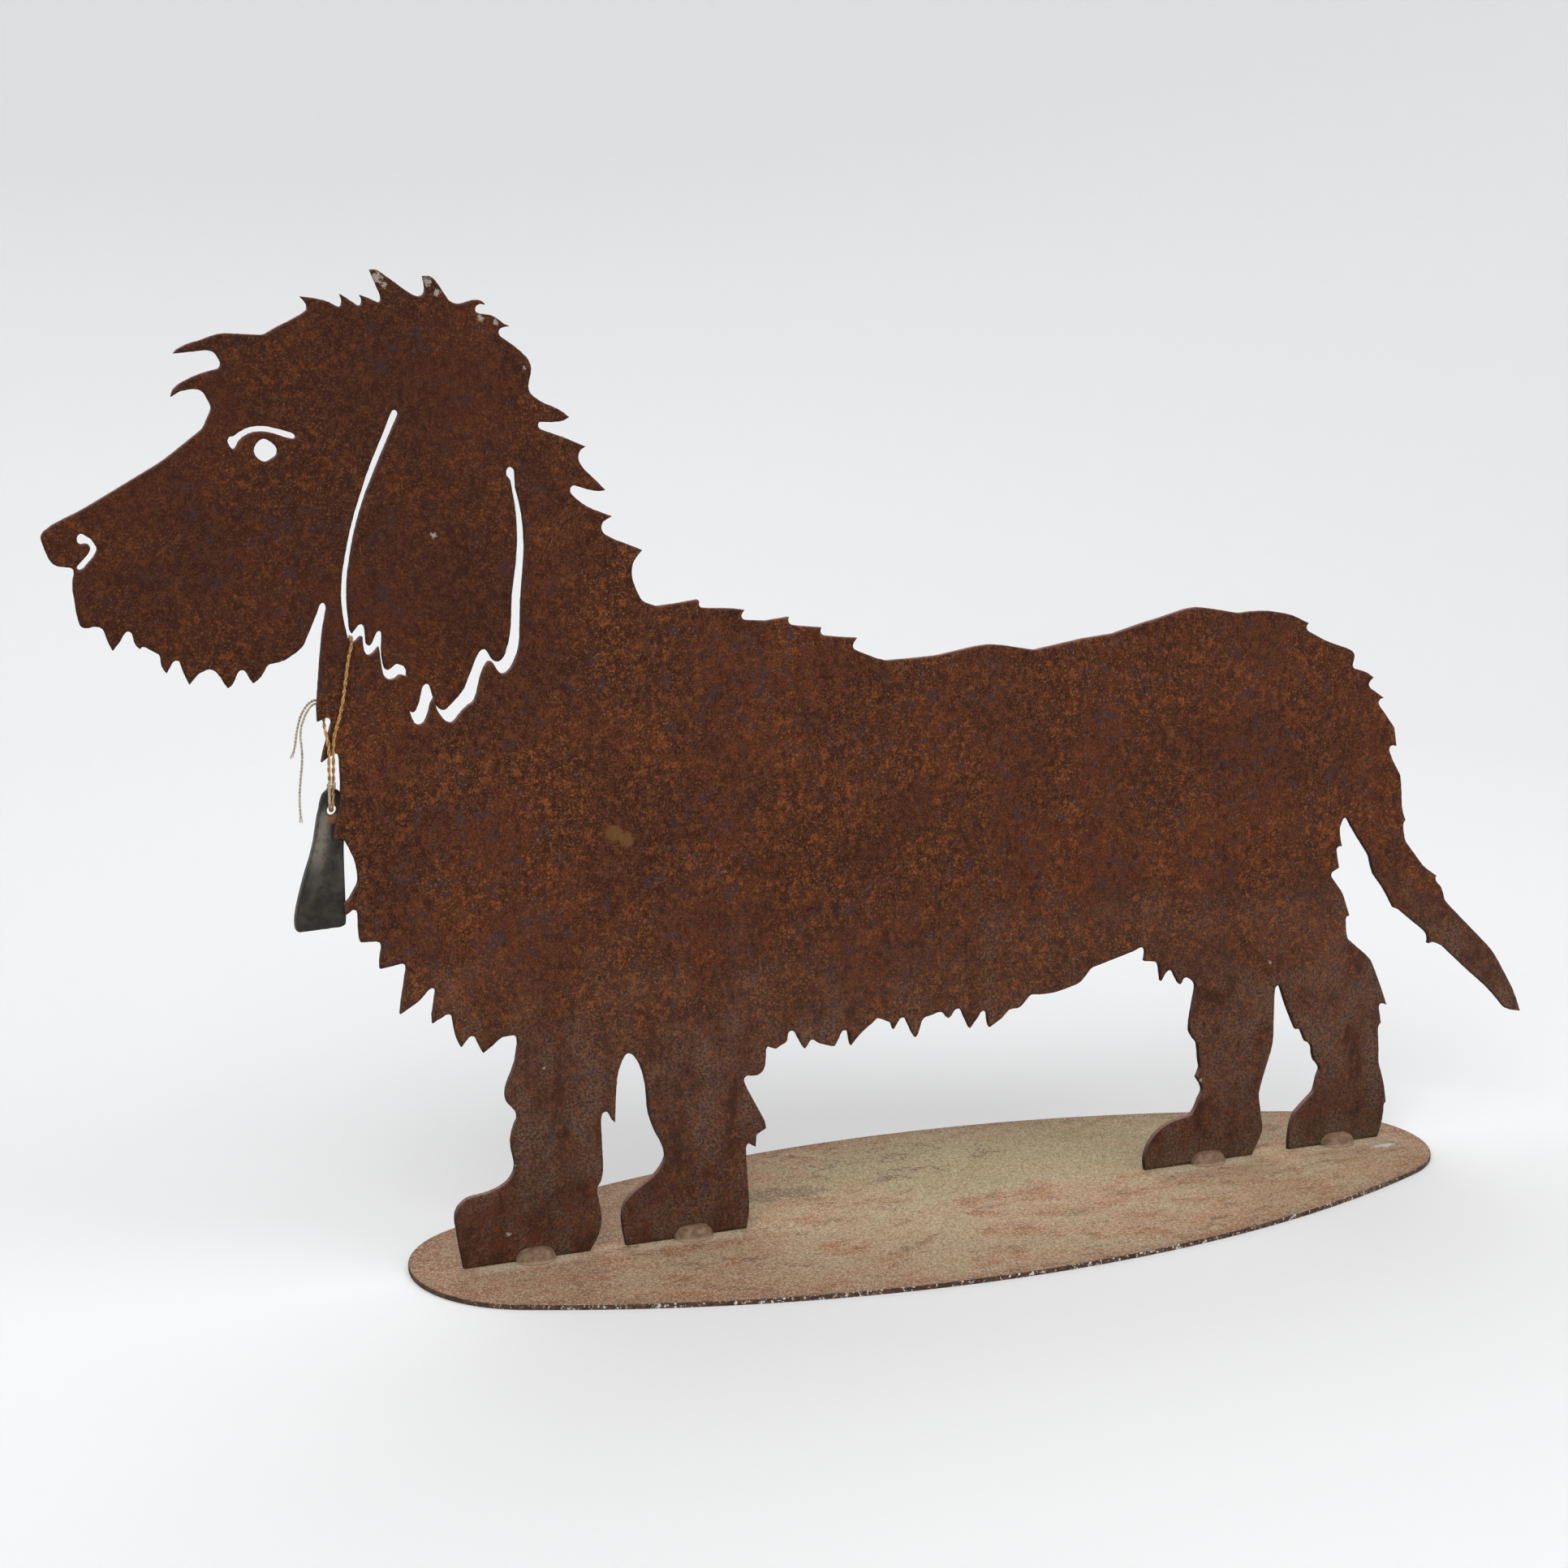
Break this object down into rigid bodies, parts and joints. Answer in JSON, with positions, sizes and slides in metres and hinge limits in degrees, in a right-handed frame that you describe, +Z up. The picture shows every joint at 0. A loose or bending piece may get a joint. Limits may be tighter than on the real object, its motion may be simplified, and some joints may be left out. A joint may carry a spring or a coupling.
{
  "type": "metal dog sculpture",
  "caption": "Flat steel silhouette of a shaggy low-legged dog standing on an oval steel base, with slot-cut ear, eye and brow and a pendant tied on with twine.",
  "frame": {"origin": "centre of the underside of the oval base, in the mid-plane of the dog's sheet", "axes": "+X along the dog from nose to tail, +Z up, -Y towards the shown face"},
  "size_m": [0.842, 0.234, 0.4978],
  "materials": {
    "rusted_steel_plate": "dark brown mill scale with orange rust speckles and violet-grey blotches",
    "dusty_steel_base": "rusted steel under tan dust",
    "dusty_weld": "dull weld metal, dusted",
    "worn_grey_tag": "worn dark olive-grey metal",
    "jute_twine": "golden tan twisted jute",
    "faded_twine": "pale grey-beige frayed jute"
  },
  "bodies": {
    "root": {"dog_plate": "rusted_steel_plate", "base_plate": "dusty_steel_base", "weld_fore_left": "dusty_weld", "weld_fore_right": "dusty_weld", "weld_hind_left": "dusty_weld", "weld_hind_right": "dusty_weld", "tag": "worn_grey_tag", "twine_knot": "jute_twine", "twine_front": "jute_twine", "twine_back": "jute_twine", "twine_end_long": "faded_twine", "twine_end_short": "faded_twine"}
  },
  "joints": []
}
